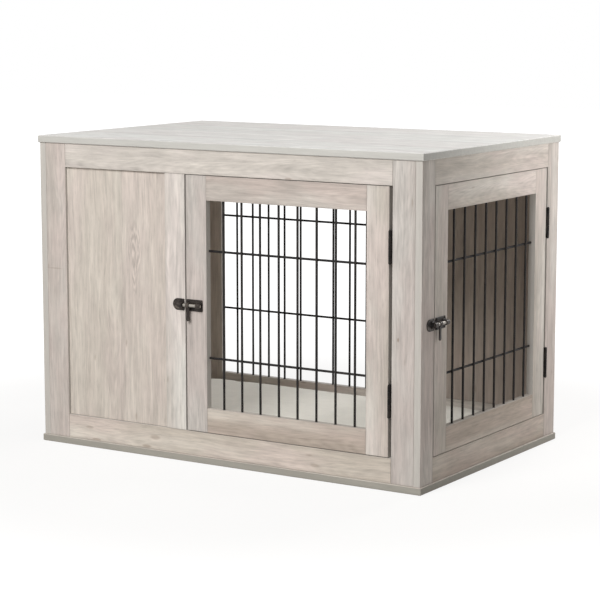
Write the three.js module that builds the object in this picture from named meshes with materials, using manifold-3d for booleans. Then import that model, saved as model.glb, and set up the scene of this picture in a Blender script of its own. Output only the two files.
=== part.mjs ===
// Dog crate end table: a case of veneered boards with a barred door at the front and at the
// right side, a barred back, a fixed front panel, barrel bolts, butt hinges and a floor cushion.
// Millimetres, +Z up, the front faces -Y. The origin is the middle of the base's underside.

import * as THREE from 'three';
import { mergeVertices } from 'three/addons/utils/BufferGeometryUtils.js';
import Module from 'manifold-3d';

const wasm = await Module();
wasm.setup();

// ---- Driving dimensions: case ----
const WIDTH = 932; // top panel, left to right
const DEPTH = 603; // top panel, front to back
const HEIGHT = 660;
const BOARD = 15; // thickness of every board
const OVERHANG = 3; // top and base stand this far proud of the case
const EASE = 0.4; // eased board edges
const PANEL_EASE = 1.5; // eased edges of the top and the base
const FIT = 0.25; // gap left where one piece seats on another

// ---- Frames ----
const MEMBER = 50; // width of rails, stiles and mullion
const OUTER_STILE = 52; // stile between the case corner and the fixed panel
const FIXED_BAY = 258; // width of the fixed panel that shows
const PANEL_RECESS = 5; // fixed panel behind the frame's face
const PANEL_BACKSET = 1; // fixed panel's back inside the frame's back
const TONGUE_THICKNESS = 4;
const TONGUE_DEPTH = 6;

// ---- Doors ----
const DOOR_STILE = 50;
const DOOR_RAIL = 50;
const RUNNING_GAP = 3; // beside a closed door, at its bolt
const DOOR_SLIT = 1.2; // above and below a closed door
const HINGE_GAP = 7; // between a door and its hinge stile

// ---- Barred grilles ----
const WIRE_RADIUS = 2.4;
const WIRE_SIDES = 8;
const WELD_SINK = 1; // how far crossing wires sink into each other at the weld
const WIRE_SEAT = 8; // wire length held in the frame at each end
const DOOR_BARS = 8;
const BACK_BARS = 10;
const CROSS_BAR_SPREAD = 220; // between the two cross bars
const DOOR_BAR_DRIFT = 4; // door bars nearer to the hinge stile
const BACK_BAR_DRIFT = 2.5; // back bars nearer to the long wall's outer stile
const BACK_BAR_INSET = 4.5; // back bars' centres outside the frame's inner face

// ---- Hinges ----
const HINGE_LENGTH = 63.5;
const KNUCKLES = 5;
const KNUCKLE_RADIUS = 3;
const KNUCKLE_GAP = 0.3;
const LEAF_THICKNESS = 2;
const LEAF_BACKSET = 3; // leaf's edge outside the board's inner face
const PIN_RADIUS = 1.4;
const PIN_CLEARANCE = 0.2;
const PIN_HEAD_RADIUS = 2.5;
const PIN_HEAD_HEIGHT = 1.2;
const PIN_HEAD_TAPER = 0.7; // crown of a pin head, as a share of its rim
const HINGE_SPREAD = 300; // between a door's two hinge centres
const HARDWARE_DROP = 2.5; // hinges and bolts are centred this far below the door's middle

// ---- Barrel bolts ----
const PLATE_THICKNESS = 1.5;
const PLATE_HEIGHT = 24;
const PLATE_INSET = 0.8; // door plate inside the door's edge
const PLATE_MARGIN = 0.8; // door plate past the housing
const ROD_RADIUS = 3.5;
const ROD_CLEARANCE = 0.3;
const ARCH_WALL = 1.7;
const COLLAR_CLEARANCE = 0.2;
const COLLAR_WALL = 1.5;
const HOUSING_LENGTH = 11;
const ROD_SHOWN = 8; // bare rod between the drawn lever and the housing
const KEEPER_LENGTH = 28.5;
const KEEPER_LOOP = 12;
const KEEPER_SETBACK = 1.5; // keeper inside the stile's edge
const TIP_GAP = 1; // drawn rod clear of the keeper
const BOLT_THROW = 8;
const BOLT_DRAW = 8;
const ROD_TAIL = 0.5; // rod end inside the housing's end
const LEVER_WIDTH = 8;
const LEVER_THICKNESS = 3;
const LEVER_LENGTH = 33; // below the rod's axis
const SCREW_HEAD_RADIUS = 2.6;
const SCREW_HEAD_HEIGHT = 1.3;
const SCREW_HEAD_TAPER = 0.6; // crown of a screw head, as a share of its rim
const SCREW_RIM_SHARE = 0.4; // height of the head's rim, as a share of its height
const SCREW_INSET = 4.5; // screw centres inside a plate's edges

// ---- Case fasteners ----
const FASTENER_INSET = 25; // from the case's front and back faces
const BASE_SCREW_RADIUS = 2.5;
const BASE_SCREW_LENGTH = 50;
const BASE_SCREW_HEAD_RADIUS = 4;
const BASE_SCREW_HEAD_HEIGHT = 3;
const BASE_SCREW_SINK = 0.5; // head above the base's underside
const DOWEL_RADIUS = 4;
const DOWEL_LENGTH = 30;
const DOWEL_COVER = 5; // top board left above a dowel

// ---- Cushion ----
const CUSHION_CLEARANCE = 4; // to the case's inside
const CUSHION_HEIGHT = 52; // at the crown
const CUSHION_CROWN = 12; // crown above the rim
const CUSHION_CROWN_RUN = 200; // from the outline to where the crown is full
const CUSHION_EDGE_DEPTH = 14; // how far the rounded edge reaches in
const CUSHION_CORNER = 26;
const CUSHION_DRAW_IN = 7; // mid-sides pulled in from the corners

// ---- Sizes that follow ----
const CASE_WIDTH = WIDTH - 2 * OVERHANG;
const CASE_DEPTH = DEPTH - 2 * OVERHANG;
const CASE_FOOT = BOARD;
const CASE_HEAD = HEIGHT - BOARD;
const OPENING_FOOT = CASE_FOOT + MEMBER;
const OPENING_HEAD = CASE_HEAD - MEMBER;
const DOOR_FOOT = OPENING_FOOT + DOOR_SLIT;
const DOOR_HEAD = OPENING_HEAD - DOOR_SLIT;
const DOOR_MIDDLE = (DOOR_FOOT + DOOR_HEAD) / 2;
const HARDWARE_HEIGHT = DOOR_MIDDLE - HARDWARE_DROP;
const WIRE_HOLE_RADIUS = WIRE_RADIUS + FIT;
const CROSS_BAR_OFFSET = 2 * WIRE_RADIUS - WELD_SINK;
const AXIS_PROUD = KNUCKLE_RADIUS;
const PANEL_BACK = BOARD - PANEL_BACKSET;
const COLLAR_RADIUS = ROD_RADIUS + COLLAR_CLEARANCE + COLLAR_WALL;
const ROD_PROUD = FIT + PLATE_THICKNESS + FIT + COLLAR_RADIUS;
const ARCH_RADIUS = ROD_RADIUS + ROD_CLEARANCE + ARCH_WALL;

// ---- Finishes ----
const laminate = { color: 0xcfc6bb, roughness: 0.62, metalness: 0 };
const panelLaminate = { color: 0xcbbfb2, roughness: 0.62, metalness: 0 };
const blackWire = { color: 0x1c1b1a, roughness: 0.45, metalness: 0.6 };
const blackHardware = { color: 0x17130f, roughness: 0.4, metalness: 0.7 };
const bareSteel = { color: 0x8d8f90, roughness: 0.35, metalness: 1 };
const beech = { color: 0xc9a678, roughness: 0.7, metalness: 0 };
const fabric = { color: 0xc9c5b4, roughness: 0.95, metalness: 0 };

const AXES = ['x', 'y', 'z'];
const UNIT = [new THREE.Vector3(1, 0, 0), new THREE.Vector3(0, 1, 0), new THREE.Vector3(0, 0, 1)];

// ---- Solids ----
function solidOf(geometry) {
  const bare = geometry.clone();
  bare.deleteAttribute('normal');
  bare.deleteAttribute('uv');
  const merged = mergeVertices(bare, 1e-4);
  const vertProperties = new Float32Array(merged.attributes.position.array);
  const triVerts = new Uint32Array(merged.index.array);
  return new wasm.Manifold(new wasm.Mesh({ numProp: 3, vertProperties, triVerts }));
}

function geometryOf(solid) {
  const { vertProperties, triVerts } = solid.getMesh();
  const indexed = new THREE.BufferGeometry();
  indexed.setAttribute('position', new THREE.BufferAttribute(new Float32Array(vertProperties), 3));
  indexed.setIndex(new THREE.BufferAttribute(new Uint32Array(triVerts), 1));
  const geometry = indexed.toNonIndexed();
  geometry.computeVertexNormals();
  return geometry;
}

function joined(geometries) {
  return geometryOf(geometries.map(solidOf).reduce((whole, piece) => whole.add(piece)));
}

function cut(geometry, cutters) {
  return geometryOf(cutters.map(solidOf).reduce((rest, cutter) => rest.subtract(cutter), solidOf(geometry)));
}

function box(low, high) {
  const size = high.map((value, axis) => value - low[axis]);
  const geometry = new THREE.BoxGeometry(...size);
  return geometry.translate(...low.map((value, axis) => value + size[axis] / 2));
}

// The two axes that follow an axis in the order x, y, z, x, and the axis itself.
function basisOf(axis) {
  const index = AXES.indexOf(axis);
  return [(index + 1) % AXES.length, (index + 2) % AXES.length, index];
}

// Extrudes a shape along an axis, starting at corner; the shape's x and y follow the next two axes.
function extruded(shape, axis, corner, options) {
  const turn = new THREE.Matrix4().makeBasis(...basisOf(axis).map((index) => UNIT[index]));
  const geometry = new THREE.ExtrudeGeometry(shape, { bevelEnabled: false, ...options });
  return geometry.applyMatrix4(turn).translate(...corner);
}

function rectangle(width, height) {
  return new THREE.Shape([
    new THREE.Vector2(0, 0),
    new THREE.Vector2(width, 0),
    new THREE.Vector2(width, height),
    new THREE.Vector2(0, height),
  ]);
}

// A board with eased edges between two corners; thinAxis is the axis of its thickness.
function board(low, high, thinAxis, ease = EASE) {
  const [across, up, thin] = basisOf(thinAxis);
  const shape = rectangle(high[across] - low[across], high[up] - low[up]);
  const corner = [...low];
  corner[thin] += ease;
  return extruded(shape, thinAxis, corner, {
    depth: high[thin] - low[thin] - 2 * ease,
    bevelEnabled: true,
    bevelThickness: ease,
    bevelSize: ease,
    bevelOffset: -ease,
    bevelSegments: 1,
  });
}

function rod(from, to, radius, sides) {
  const start = new THREE.Vector3(...from);
  const end = new THREE.Vector3(...to);
  const direction = end.clone().sub(start).normalize();
  const geometry = new THREE.CylinderGeometry(radius, radius, start.distanceTo(end), sides);
  geometry.applyQuaternion(new THREE.Quaternion().setFromUnitVectors(UNIT[AXES.indexOf('y')], direction));
  return geometry.translate(...start.add(end).multiplyScalar(0.5));
}

// Turns a closed profile of [radius, height] points about a vertical line.
function turned(profile, sides, centre) {
  const points = profile.map(([radius, height]) => new THREE.Vector2(radius, height));
  const geometry = new THREE.LatheGeometry(points, sides);
  return geometry.rotateX(Math.PI / 2).translate(...centre);
}

function addPiece(parent, name, geometry, finish) {
  const mesh = new THREE.Mesh(geometry, new THREE.MeshStandardMaterial(finish));
  mesh.name = name;
  parent.add(mesh);
  return mesh;
}

// ---- Case shell ----
// Base screws and top dowels stand in the middle of the side boards' thickness.
function fastenerSpots() {
  const x = CASE_WIDTH / 2 - BOARD / 2;
  const y = CASE_DEPTH / 2 - FASTENER_INSET;
  return [
    { name: 'front_left', x: -x, y: -y },
    { name: 'front_right', x, y: -y },
    { name: 'back_left', x: -x, y },
    { name: 'back_right', x, y },
  ];
}

const SCREW_FOOT = BASE_SCREW_SINK;
const SCREW_TIP = SCREW_FOOT + BASE_SCREW_LENGTH;
const DOWEL_HEAD = HEIGHT - DOWEL_COVER;
const DOWEL_FOOT = DOWEL_HEAD - DOWEL_LENGTH;
const FASTENER_SIDES = 12;

function screwHoles({ x, y }) {
  const headRoom = SCREW_FOOT + BASE_SCREW_HEAD_HEIGHT + FIT;
  const shank = rod([x, y, -1], [x, y, SCREW_TIP + FIT], BASE_SCREW_RADIUS + FIT, FASTENER_SIDES);
  const head = rod([x, y, -1], [x, y, headRoom], BASE_SCREW_HEAD_RADIUS + FIT, FASTENER_SIDES);
  return [shank, head];
}

function dowelHole({ x, y }) {
  const sides = FASTENER_SIDES;
  return rod([x, y, DOWEL_FOOT - FIT], [x, y, DOWEL_HEAD + FIT], DOWEL_RADIUS + FIT, sides);
}

function addFasteners(parent) {
  for (const spot of fastenerSpots()) {
    const neck = SCREW_FOOT + BASE_SCREW_HEAD_HEIGHT;
    const screw = [
      [0, SCREW_FOOT],
      [BASE_SCREW_HEAD_RADIUS, SCREW_FOOT],
      [BASE_SCREW_HEAD_RADIUS, neck - 1],
      [BASE_SCREW_RADIUS, neck],
      [BASE_SCREW_RADIUS, SCREW_TIP - BASE_SCREW_RADIUS],
      [0, SCREW_TIP],
    ];
    const centre = [spot.x, spot.y, 0];
    addPiece(parent, `base_screw_${spot.name}`, turned(screw, FASTENER_SIDES, centre), bareSteel);
    const dowel = [
      [0, DOWEL_FOOT],
      [DOWEL_RADIUS - EASE, DOWEL_FOOT],
      [DOWEL_RADIUS, DOWEL_FOOT + EASE],
      [DOWEL_RADIUS, DOWEL_HEAD - EASE],
      [DOWEL_RADIUS - EASE, DOWEL_HEAD],
      [0, DOWEL_HEAD],
    ];
    addPiece(parent, `top_dowel_${spot.name}`, turned(dowel, FASTENER_SIDES, centre), beech);
  }
}

function addTopAndBase(parent) {
  const [x, y] = [WIDTH / 2, DEPTH / 2];
  const base = board([-x, -y, 0], [x, y, BOARD], 'z', PANEL_EASE);
  const top = board([-x, -y, CASE_HEAD], [x, y, HEIGHT], 'z', PANEL_EASE);
  addPiece(parent, 'base_panel', cut(base, fastenerSpots().flatMap(screwHoles)), laminate);
  addPiece(parent, 'top_panel', cut(top, fastenerSpots().map(dowelHole)), laminate);
}

// ---- Walls ----
// A wall is a group seen from outside: x to the right, y inward from the case's face, z up.
function addWall(parent, x, y, quarterTurns) {
  const wall = new THREE.Group();
  wall.position.set(x, y, 0);
  wall.rotation.z = quarterTurns * Math.PI / 2;
  wall.updateMatrix();
  parent.add(wall);
  return wall;
}

// Cutters given in the case's own frame, taken into a wall's frame.
function intoWall(wall, cutters) {
  const inverse = wall.matrix.clone().invert();
  return cutters.map((cutter) => cutter.applyMatrix4(inverse));
}

function fastenerHolesIn(wall) {
  const spots = fastenerSpots();
  return intoWall(wall, [...spots.flatMap(screwHoles), ...spots.map(dowelHole)]);
}

// An upright board that fills x from left to right and z from foot to head of a wall.
function wallBoard(left, right, foot, head) {
  return board([left + FIT, 0, foot + FIT], [right - FIT, BOARD, head - FIT], 'y');
}

// The tongue of a fixed panel, grown by a clearance to make its groove.
function tongueBox(left, right, clearance) {
  const reach = TONGUE_DEPTH + clearance;
  const front = (PANEL_RECESS + PANEL_BACK - TONGUE_THICKNESS) / 2;
  return box(
    [left - reach, front - clearance, OPENING_FOOT - reach],
    [right + reach, front + TONGUE_THICKNESS + clearance, OPENING_HEAD + reach],
  );
}

function fixedPanel(left, right) {
  const body = board(
    [left + FIT, PANEL_RECESS, OPENING_FOOT + FIT],
    [right - FIT, PANEL_BACK, OPENING_HEAD - FIT],
    'y',
  );
  return joined([body, tongueBox(left, right, 0)]);
}

// ---- Grilles ----
// Places of bars in an opening; drift moves them all towards its right side.
function spacedBars(left, right, count, endShare, drift) {
  const pitch = (right - left) / (count - 1 + 2 * endShare);
  return Array.from({ length: count }, (_, index) => left + drift + pitch * (endShare + index));
}

// Bars of a grille in an opening; reach is how far they run into the frame round it.
function grilleBars({ left, right, foot, head, bars, setback, crossSetback }, reach, radius) {
  const middle = (foot + head) / 2;
  const bar = (from, to) => rod(from, to, radius, WIRE_SIDES);
  const uprights = bars.map((x) => bar([x, setback, foot - reach], [x, setback, head + reach]));
  const crossBars = [-1, 1].map((side) => {
    const z = middle + side * CROSS_BAR_SPREAD / 2;
    return bar([left - reach, crossSetback, z], [right + reach, crossSetback, z]);
  });
  return [...uprights, ...crossBars];
}

function wireHoles(grille) {
  return grilleBars(grille, WIRE_SEAT + FIT, WIRE_HOLE_RADIUS);
}

function addGrille(parent, name, grille) {
  addPiece(parent, name, joined(grilleBars(grille, WIRE_SEAT, WIRE_RADIUS)), blackWire);
}

// ---- Long walls: front and back ----
const BAY_LEFT = BOARD + OUTER_STILE;
const BAY_RIGHT = BAY_LEFT + FIXED_BAY;
const MULLION_RIGHT = BAY_RIGHT + MEMBER;
const LONG_RIGHT = CASE_WIDTH - BOARD - MEMBER;

function addLongWall(wall, side, firstStile, secondStile, wireCutters) {
  const groove = tongueBox(BAY_LEFT, BAY_RIGHT, FIT);
  const foot = OPENING_FOOT;
  const head = OPENING_HEAD;
  const outerStile = wallBoard(BOARD, BAY_LEFT, CASE_FOOT, CASE_HEAD);
  const mullion = wallBoard(BAY_RIGHT, MULLION_RIGHT, foot, head);
  const farStile = wallBoard(LONG_RIGHT, CASE_WIDTH - BOARD, CASE_FOOT, CASE_HEAD);
  const topRail = wallBoard(BAY_LEFT, LONG_RIGHT, head, CASE_HEAD);
  const bottomRail = wallBoard(BAY_LEFT, LONG_RIGHT, CASE_FOOT, foot);
  addPiece(wall, firstStile, cut(outerStile, [groove]), laminate);
  addPiece(wall, `${side}_mullion`, cut(mullion, [groove, ...wireCutters]), laminate);
  addPiece(wall, secondStile, wireCutters.length ? cut(farStile, wireCutters) : farStile, laminate);
  addPiece(wall, `${side}_top_rail`, cut(topRail, [groove, ...wireCutters]), laminate);
  addPiece(wall, `${side}_bottom_rail`, cut(bottomRail, [groove, ...wireCutters]), laminate);
  addPiece(wall, `${side}_fixed_panel`, fixedPanel(BAY_LEFT, BAY_RIGHT), panelLaminate);
}

function backGrille() {
  return {
    left: MULLION_RIGHT,
    right: LONG_RIGHT,
    foot: OPENING_FOOT,
    head: OPENING_HEAD,
    bars: spacedBars(MULLION_RIGHT, LONG_RIGHT, BACK_BARS, 1, BACK_BAR_DRIFT),
    setback: BOARD - BACK_BAR_INSET,
    crossSetback: BOARD - BACK_BAR_INSET - CROSS_BAR_OFFSET,
  };
}

// ---- Right wall: a frame round the side door ----
function addSideFrame(wall) {
  const holes = () => fastenerHolesIn(wall);
  const stile = (from, to) => board([from, 0, CASE_FOOT + FIT], [to, BOARD, CASE_HEAD - FIT], 'y');
  const topRail = wallBoard(MEMBER, CASE_DEPTH - MEMBER, OPENING_HEAD, CASE_HEAD);
  const bottomRail = wallBoard(MEMBER, CASE_DEPTH - MEMBER, CASE_FOOT, OPENING_FOOT);
  addPiece(wall, 'right_front_stile', cut(stile(0, MEMBER), holes()), laminate);
  addPiece(wall, 'right_rear_stile', cut(stile(CASE_DEPTH - MEMBER, CASE_DEPTH), holes()), laminate);
  addPiece(wall, 'right_top_rail', topRail, laminate);
  addPiece(wall, 'right_bottom_rail', bottomRail, laminate);
}

// ---- Doors ----
const DOOR_BAR_END_SHARE = 0.75; // first bar's distance from the frame, in bar pitches

function addDoor(wall, name, left, right, stileNames) {
  const grille = {
    left: left + DOOR_STILE,
    right: right - DOOR_STILE,
    foot: DOOR_FOOT + DOOR_RAIL,
    head: DOOR_HEAD - DOOR_RAIL,
    bars: spacedBars(left + DOOR_STILE, right - DOOR_STILE, DOOR_BARS, DOOR_BAR_END_SHARE, DOOR_BAR_DRIFT),
    setback: BOARD / 2,
    crossSetback: BOARD / 2 + CROSS_BAR_OFFSET,
  };
  const upright = (from, to) => board([from, 0, DOOR_FOOT], [to, BOARD, DOOR_HEAD], 'y');
  const level = (from, to) => board([grille.left + FIT, 0, from], [grille.right - FIT, BOARD, to], 'y');
  addPiece(wall, `${name}_${stileNames[0]}`, cut(upright(left, grille.left), wireHoles(grille)), laminate);
  addPiece(wall, `${name}_${stileNames[1]}`, cut(upright(grille.right, right), wireHoles(grille)), laminate);
  addPiece(wall, `${name}_bottom_rail`, cut(level(DOOR_FOOT, grille.foot), wireHoles(grille)), laminate);
  addPiece(wall, `${name}_top_rail`, cut(level(grille.head, DOOR_HEAD), wireHoles(grille)), laminate);
  addGrille(wall, `${name}_grille`, grille);
}

// ---- Hinges ----
const HINGE_SIDES = 12;

// One leaf with its own knuckles; side is 1 for the stile's leaf and -1 for the door's.
function hingeLeaf(axisX, foot, side, knuckles) {
  const pitch = HINGE_LENGTH / KNUCKLES;
  const outer = HINGE_GAP / 2 - FIT;
  const inner = outer - LEAF_THICKNESS;
  const [low, high] = side > 0 ? [axisX + inner, axisX + outer] : [axisX - outer, axisX - inner];
  const plateFront = -AXIS_PROUD + KNUCKLE_RADIUS + KNUCKLE_GAP;
  const plate = box([low, plateFront, foot], [high, BOARD - LEAF_BACKSET, foot + HINGE_LENGTH]);
  const rolls = knuckles.flatMap((index) => {
    const from = foot + pitch * index + KNUCKLE_GAP / 2;
    const to = foot + pitch * (index + 1) - KNUCKLE_GAP / 2;
    const roll = rod([axisX, -AXIS_PROUD, from], [axisX, -AXIS_PROUD, to], KNUCKLE_RADIUS, HINGE_SIDES);
    const tab = box([low, -AXIS_PROUD, from], [high, plateFront + KNUCKLE_GAP, to]);
    return [roll, tab];
  });
  const bore = rod(
    [axisX, -AXIS_PROUD, foot - 1],
    [axisX, -AXIS_PROUD, foot + HINGE_LENGTH + 1],
    PIN_RADIUS + PIN_CLEARANCE,
    HINGE_SIDES,
  );
  return cut(joined([plate, ...rolls]), [bore]);
}

function hingePin(axisX, foot) {
  const head = foot + HINGE_LENGTH + KNUCKLE_GAP;
  const tail = foot - KNUCKLE_GAP;
  const profile = [
    [0, tail - PIN_HEAD_HEIGHT],
    [PIN_HEAD_RADIUS * PIN_HEAD_TAPER, tail - PIN_HEAD_HEIGHT],
    [PIN_HEAD_RADIUS, tail],
    [PIN_RADIUS, tail],
    [PIN_RADIUS, head],
    [PIN_HEAD_RADIUS, head],
    [PIN_HEAD_RADIUS * PIN_HEAD_TAPER, head + PIN_HEAD_HEIGHT],
    [0, head + PIN_HEAD_HEIGHT],
  ];
  return turned(profile, HINGE_SIDES, [axisX, -AXIS_PROUD, 0]);
}

function addHinges(wall, name, doorEdge) {
  const axisX = doorEdge + HINGE_GAP / 2;
  const heights = { lower: -HINGE_SPREAD / 2, upper: HINGE_SPREAD / 2 };
  for (const [level, offset] of Object.entries(heights)) {
    const foot = HARDWARE_HEIGHT + offset - HINGE_LENGTH / 2;
    const all = Array.from({ length: KNUCKLES }, (_, index) => index);
    const onStile = all.filter((index) => index % 2 === 0);
    const onDoor = all.filter((index) => index % 2 === 1);
    const hinge = `${name}_${level}_hinge`;
    addPiece(wall, `${hinge}_frame_leaf`, hingeLeaf(axisX, foot, 1, onStile), blackHardware);
    addPiece(wall, `${hinge}_door_leaf`, hingeLeaf(axisX, foot, -1, onDoor), blackHardware);
    addPiece(wall, `${hinge}_pin`, hingePin(axisX, foot), blackHardware);
  }
}

// ---- Barrel bolts ----
const BOLT_SIDES = 16;
const SCREW_SIDES = 10;
const KEEPER_END_SIDES = 24;

// The arched strap that holds the rod: a section in y and z, run from one x to another.
function archStrap(from, to) {
  const foot = -FIT - PLATE_THICKNESS / 2;
  const section = new THREE.Shape();
  section.moveTo(foot, -ARCH_RADIUS);
  section.lineTo(foot, ARCH_RADIUS);
  section.lineTo(-ROD_PROUD, ARCH_RADIUS);
  section.absarc(-ROD_PROUD, 0, ARCH_RADIUS, Math.PI / 2, 1.5 * Math.PI, false);
  const hole = new THREE.Path();
  hole.absarc(-ROD_PROUD, 0, ROD_RADIUS + ROD_CLEARANCE, 0, 2 * Math.PI, true);
  section.holes.push(hole);
  const options = { depth: to - from, curveSegments: BOLT_SIDES };
  return extruded(section, 'x', [from, 0, HARDWARE_HEIGHT], options);
}

function screwHead(x, z) {
  const face = -FIT - PLATE_THICKNESS / 2;
  const dome = [
    [0, 0],
    [SCREW_HEAD_RADIUS, 0],
    [SCREW_HEAD_RADIUS, PLATE_THICKNESS / 2 + SCREW_HEAD_HEIGHT * SCREW_RIM_SHARE],
    [SCREW_HEAD_RADIUS * SCREW_HEAD_TAPER, PLATE_THICKNESS / 2 + SCREW_HEAD_HEIGHT],
    [0, PLATE_THICKNESS / 2 + SCREW_HEAD_HEIGHT],
  ];
  return turned(dome, SCREW_SIDES, [0, 0, 0]).rotateX(Math.PI / 2).translate(x, face, HARDWARE_HEIGHT + z);
}

function platePiece(from, to) {
  const half = PLATE_HEIGHT / 2;
  return box(
    [from, -FIT - PLATE_THICKNESS, HARDWARE_HEIGHT - half],
    [to, -FIT, HARDWARE_HEIGHT + half],
  );
}

// Places along x that the bolt's pieces share, from the door's edge and the stile's edge beside it.
function boltLayout(doorEdge) {
  const keeperRight = doorEdge - RUNNING_GAP - KEEPER_SETBACK;
  const tip = keeperRight + TIP_GAP;
  const leverLeft = tip + BOLT_THROW;
  const leverRight = leverLeft + LEVER_WIDTH;
  const housingLeft = leverRight + BOLT_DRAW + TIP_GAP / 2 + ROD_SHOWN;
  const housingRight = housingLeft + HOUSING_LENGTH;
  return { keeperRight, tip, leverLeft, leverRight, housingLeft, housingRight };
}

function addBolt(wall, name, doorEdge) {
  const at = boltLayout(doorEdge);
  const screwRow = (PLATE_HEIGHT / 2 + ARCH_RADIUS) / 2;

  const plateLeft = doorEdge + PLATE_INSET;
  const plateRight = at.housingRight + PLATE_MARGIN;
  const screwColumns = [plateLeft + SCREW_INSET, plateRight - SCREW_INSET];
  const plateScrews = screwColumns.flatMap((x) => [screwHead(x, screwRow), screwHead(x, -screwRow)]);
  const housing = archStrap(at.housingLeft, at.housingRight);
  const plate = joined([platePiece(plateLeft, plateRight), housing, ...plateScrews]);
  addPiece(wall, `${name}_plate`, plate, blackHardware);

  const keeperLeft = at.keeperRight - KEEPER_LENGTH;
  const half = PLATE_HEIGHT / 2;
  const roundEnd = rod(
    [keeperLeft + half, -FIT - PLATE_THICKNESS, HARDWARE_HEIGHT],
    [keeperLeft + half, -FIT, HARDWARE_HEIGHT],
    half,
    KEEPER_END_SIDES,
  );
  const keeper = [
    roundEnd,
    platePiece(keeperLeft + half, at.keeperRight),
    archStrap(at.keeperRight - KEEPER_LOOP, at.keeperRight),
    screwHead((keeperLeft + at.keeperRight - KEEPER_LOOP) / 2, 0),
  ];
  addPiece(wall, `${name}_keeper`, joined(keeper), blackHardware);

  const shaft = rod(
    [at.tip, -ROD_PROUD, HARDWARE_HEIGHT],
    [at.housingRight - ROD_TAIL, -ROD_PROUD, HARDWARE_HEIGHT],
    ROD_RADIUS,
    BOLT_SIDES,
  );
  addPiece(wall, `${name}_rod`, shaft, bareSteel);

  addPiece(wall, `${name}_lever`, leverGeometry(at.leverLeft, at.leverRight), blackHardware);
}

// A collar on the rod with a flat arm that hangs from it.
function leverGeometry(left, right) {
  const middle = (left + right) / 2;
  const endRadius = LEVER_WIDTH / 2;
  const onAxis = (x) => [x, -ROD_PROUD, HARDWARE_HEIGHT];
  const collar = rod(onAxis(left), onAxis(right), COLLAR_RADIUS, BOLT_SIDES);
  const arm = new THREE.Shape();
  arm.moveTo(HARDWARE_HEIGHT, right);
  arm.lineTo(HARDWARE_HEIGHT, left);
  arm.lineTo(HARDWARE_HEIGHT - LEVER_LENGTH + endRadius, left);
  arm.absarc(HARDWARE_HEIGHT - LEVER_LENGTH + endRadius, middle, endRadius, 1.5 * Math.PI, Math.PI / 2, true);
  const blade = extruded(arm, 'y', [0, -ROD_PROUD - LEVER_THICKNESS / 2, 0], {
    depth: LEVER_THICKNESS,
    curveSegments: 8,
  });
  const bore = rod(onAxis(left - 1), onAxis(right + 1), ROD_RADIUS + COLLAR_CLEARANCE, BOLT_SIDES);
  return cut(joined([collar, blade]), [bore]);
}

// ---- Cushion ----
const EDGE_STEPS = 5;
const EDGE_TURN = 150; // degrees that the rounded edge turns through, from the underside up
const CROWN_STEPS = 4;

// Rings of a crowned pad: how far each lies inside the outline, and its height.
function cushionRings() {
  const rim = CUSHION_HEIGHT - CUSHION_CROWN;
  const edge = Array.from({ length: EDGE_STEPS + 1 }, (_, step) => {
    const angle = ((EDGE_TURN * step) / EDGE_STEPS - 90) * (Math.PI / 180);
    return [CUSHION_EDGE_DEPTH * (1 - Math.cos(angle)), (rim * (1 + Math.sin(angle))) / 2];
  });
  const crown = Array.from({ length: CROWN_STEPS }, (_, index) => {
    const share = ((index + 1) / CROWN_STEPS) ** 1.5;
    return [CUSHION_CROWN_RUN * share, rim + CUSHION_CROWN * (1 - (1 - share) ** 2)];
  });
  return [...edge, ...crown];
}

// A rounded rectangle whose sides are drawn in between its corners.
function cushionOutline(halfWidth, halfDepth) {
  const cornerSteps = 6;
  const sideSteps = 8;
  const points = [];
  const corners = [[1, 1], [-1, 1], [-1, -1], [1, -1]];
  corners.forEach(([signX, signY], index) => {
    const centre = [signX * (halfWidth - CUSHION_CORNER), signY * (halfDepth - CUSHION_CORNER)];
    for (let step = 0; step <= cornerSteps; step += 1) {
      const angle = (index + step / cornerSteps) * Math.PI / 2;
      const x = centre[0] + CUSHION_CORNER * Math.cos(angle);
      const y = centre[1] + CUSHION_CORNER * Math.sin(angle);
      points.push([x, y]);
    }
    const next = corners[(index + 1) % 4];
    const start = points[points.length - 1];
    const alongX = next[0] !== signX;
    const end = alongX ? [-start[0], start[1]] : [start[0], -start[1]];
    for (let step = 1; step < sideSteps; step += 1) {
      const share = step / sideSteps;
      const pull = 1 - CUSHION_DRAW_IN * Math.sin(Math.PI * share) ** 2 / (alongX ? halfDepth : halfWidth);
      const x = start[0] + (end[0] - start[0]) * share;
      const y = start[1] + (end[1] - start[1]) * share;
      points.push(alongX ? [x, y * pull] : [x * pull, y]);
    }
  });
  return points;
}

function cushionGeometry() {
  const halfWidth = CASE_WIDTH / 2 - BOARD - CUSHION_CLEARANCE;
  const halfDepth = CASE_DEPTH / 2 - BOARD - CUSHION_CLEARANCE;
  const outline = cushionOutline(halfWidth, halfDepth);
  const rings = cushionRings();
  const vertices = [];
  for (const [inset, height] of rings) {
    for (const [x, y] of outline) {
      vertices.push(x * (1 - inset / halfWidth), y * (1 - inset / halfDepth), height);
    }
  }
  const count = outline.length;
  const bottomCentre = vertices.length / 3;
  vertices.push(0, 0, 0);
  const topCentre = bottomCentre + 1;
  vertices.push(0, 0, CUSHION_HEIGHT);
  const faces = [];
  for (let index = 0; index < count; index += 1) {
    const next = (index + 1) % count;
    faces.push(bottomCentre, next, index);
    for (let ring = 0; ring + 1 < rings.length; ring += 1) {
      const [a, b] = [ring * count + index, ring * count + next];
      faces.push(a, b, b + count, a, b + count, a + count);
    }
    const lastRing = (rings.length - 1) * count;
    faces.push(topCentre, lastRing + index, lastRing + next);
  }
  const geometry = new THREE.BufferGeometry();
  geometry.setAttribute('position', new THREE.Float32BufferAttribute(vertices, 3));
  geometry.setIndex(faces);
  const flat = geometry.toNonIndexed();
  flat.computeVertexNormals();
  return flat.translate(0, 0, CASE_FOOT + FIT);
}

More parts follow.
